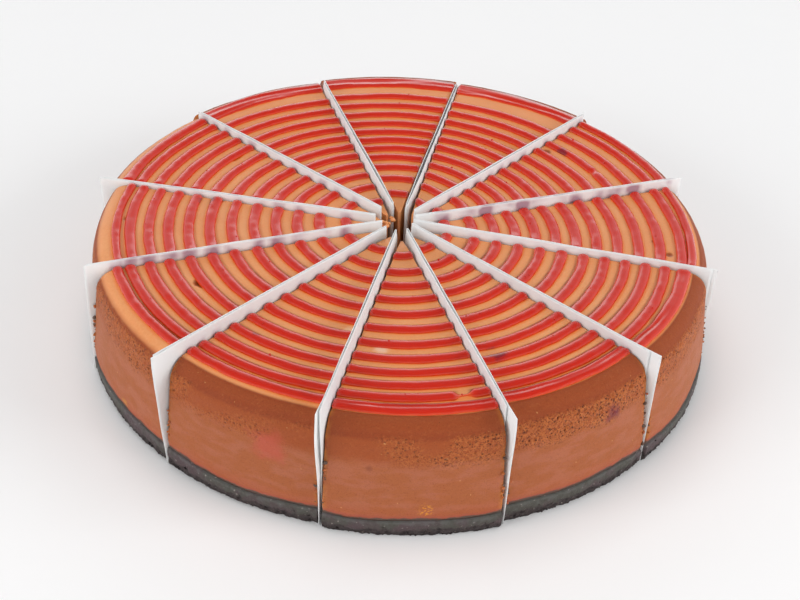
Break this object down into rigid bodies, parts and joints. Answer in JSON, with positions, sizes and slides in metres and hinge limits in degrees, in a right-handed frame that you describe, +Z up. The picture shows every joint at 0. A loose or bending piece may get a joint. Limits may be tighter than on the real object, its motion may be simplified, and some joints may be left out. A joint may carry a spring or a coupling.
{
  "type": "sliced cake",
  "caption": "Round baked cheesecake cut into wedges, with a dark biscuit crust, raised red jelly rings on a smooth top and a folded paper divider standing in each cut.",
  "frame": {"origin": "centre of the cake's outer box on the plane it stands on", "axes": "+Z up; +Y towards the middle of the slice that is at the back of the picture; +X to the right"},
  "size_m": [0.2372, 0.2428, 0.0536],
  "materials": {
    "custard": "satin baked custard with glossy red jelly rings",
    "biscuit": "matt pressed dark biscuit crumb",
    "paper": "matt white paper"
  },
  "bodies": {
    "root": {"filling_01": "custard", "filling_02": "custard", "filling_03": "custard", "filling_04": "custard", "filling_05": "custard", "filling_06": "custard", "filling_07": "custard", "filling_08": "custard", "filling_09": "custard", "filling_10": "custard", "filling_11": "custard", "filling_12": "custard", "crust_01": "biscuit", "crust_02": "biscuit", "crust_03": "biscuit", "crust_04": "biscuit", "crust_05": "biscuit", "crust_06": "biscuit", "crust_07": "biscuit", "crust_08": "biscuit", "crust_09": "biscuit", "crust_10": "biscuit", "crust_11": "biscuit", "crust_12": "biscuit", "divider_01": "paper", "divider_02": "paper", "divider_03": "paper", "divider_04": "paper", "divider_05": "paper", "divider_06": "paper", "divider_07": "paper", "divider_08": "paper", "divider_09": "paper", "divider_10": "paper", "divider_11": "paper", "divider_12": "paper"}
  },
  "joints": []
}
